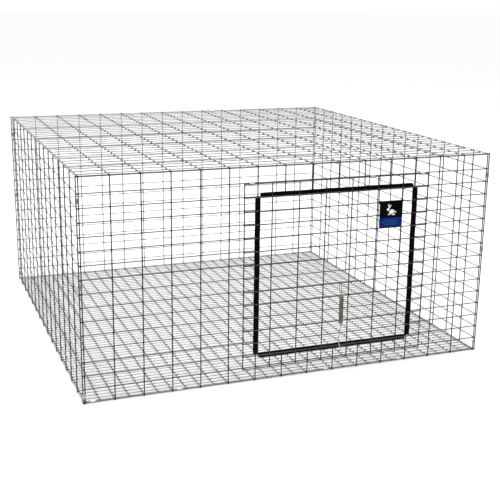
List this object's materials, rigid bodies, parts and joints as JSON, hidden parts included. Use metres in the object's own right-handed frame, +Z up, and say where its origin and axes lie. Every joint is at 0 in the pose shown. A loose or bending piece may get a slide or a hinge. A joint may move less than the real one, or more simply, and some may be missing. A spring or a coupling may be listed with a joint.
{
  "type": "wire mesh rabbit hutch",
  "caption": "Free-standing all-wire hutch of clipped welded-mesh panels, with a top-hinged mesh door over a guarded doorway and a spring latch.",
  "frame": {"origin": "on the ground plane, on the underside of the floor's middle long wire, at the middle of the floor", "axes": "+X to the right seen from the front, +Y from the front (door) to the back, +Z up"},
  "size_m": [0.7732, 0.7814, 0.3893],
  "materials": {
    "wall_mesh": "galvanised, satin",
    "floor_mesh": "galvanised, satin",
    "clip_strip": "galvanised, satin",
    "edge_guard": "gloss black",
    "spring_wire": "oiled spring steel",
    "hook_wire": "zinc plated",
    "plate": "satin black with a plain blue band"
  },
  "bodies": {
    "cage": {"front_panel": "wall_mesh", "back_panel": "wall_mesh", "left_panel": "wall_mesh", "right_panel": "wall_mesh", "top_panel": "wall_mesh", "floor_panel": "floor_mesh", "door_guard_left": "edge_guard", "door_guard_right": "edge_guard", "door_guard_bottom": "edge_guard", "door_guard_top": "edge_guard", "hinge_clip_1": "clip_strip", "hinge_clip_2": "clip_strip", "hinge_clip_3": "clip_strip", "front_floor_clip_1": "clip_strip", "front_floor_clip_2": "clip_strip", "front_floor_clip_3": "clip_strip", "front_floor_clip_4": "clip_strip", "front_top_clip_1": "clip_strip", "front_top_clip_2": "clip_strip", "front_top_clip_3": "clip_strip", "back_floor_clip_1": "clip_strip", "back_floor_clip_2": "clip_strip", "back_floor_clip_3": "clip_strip", "back_top_clip_1": "clip_strip", "back_top_clip_2": "clip_strip", "back_top_clip_3": "clip_strip", "left_floor_clip_1": "clip_strip", "left_floor_clip_2": "clip_strip", "left_floor_clip_3": "clip_strip", "left_top_clip_1": "clip_strip", "left_top_clip_2": "clip_strip", "left_top_clip_3": "clip_strip", "front_left_clip_1": "clip_strip", "front_left_clip_2": "clip_strip", "front_left_clip_3": "clip_strip", "back_left_clip_1": "clip_strip", "back_left_clip_2": "clip_strip", "back_left_clip_3": "clip_strip", "right_floor_clip_1": "clip_strip", "right_floor_clip_2": "clip_strip", "right_floor_clip_3": "clip_strip", "right_top_clip_1": "clip_strip", "right_top_clip_2": "clip_strip", "right_top_clip_3": "clip_strip", "front_right_clip_1": "clip_strip", "front_right_clip_2": "clip_strip", "front_right_clip_3": "clip_strip", "back_right_clip_1": "clip_strip", "back_right_clip_2": "clip_strip", "back_right_clip_3": "clip_strip"},
    "door": {"door_panel": "wall_mesh", "name_plate": "plate"},
    "spring": {"latch_spring": "spring_wire"},
    "hook": {"latch_hook": "hook_wire"}
  },
  "joints": [
    {"name": "door_hinge", "type": "hinge", "parent": "cage", "child": "door", "pos_m": [0.0762, -0.3871, 0.35895], "axis": [-1, 0, 0], "range_deg": [0, 180]},
    {"name": "latch_swing", "type": "hinge", "parent": "door", "child": "spring", "pos_m": [0.08382, -0.38825, 0.16855], "axis": [-1, 0, 0], "range_deg": [0, 120]},
    {"name": "latch_pull", "type": "slide", "parent": "spring", "child": "hook", "axis": [0, 0, -1], "range_m": [0, 0.006], "stiffness_N_per_m": 400, "springref_m": -0.004}
  ]
}
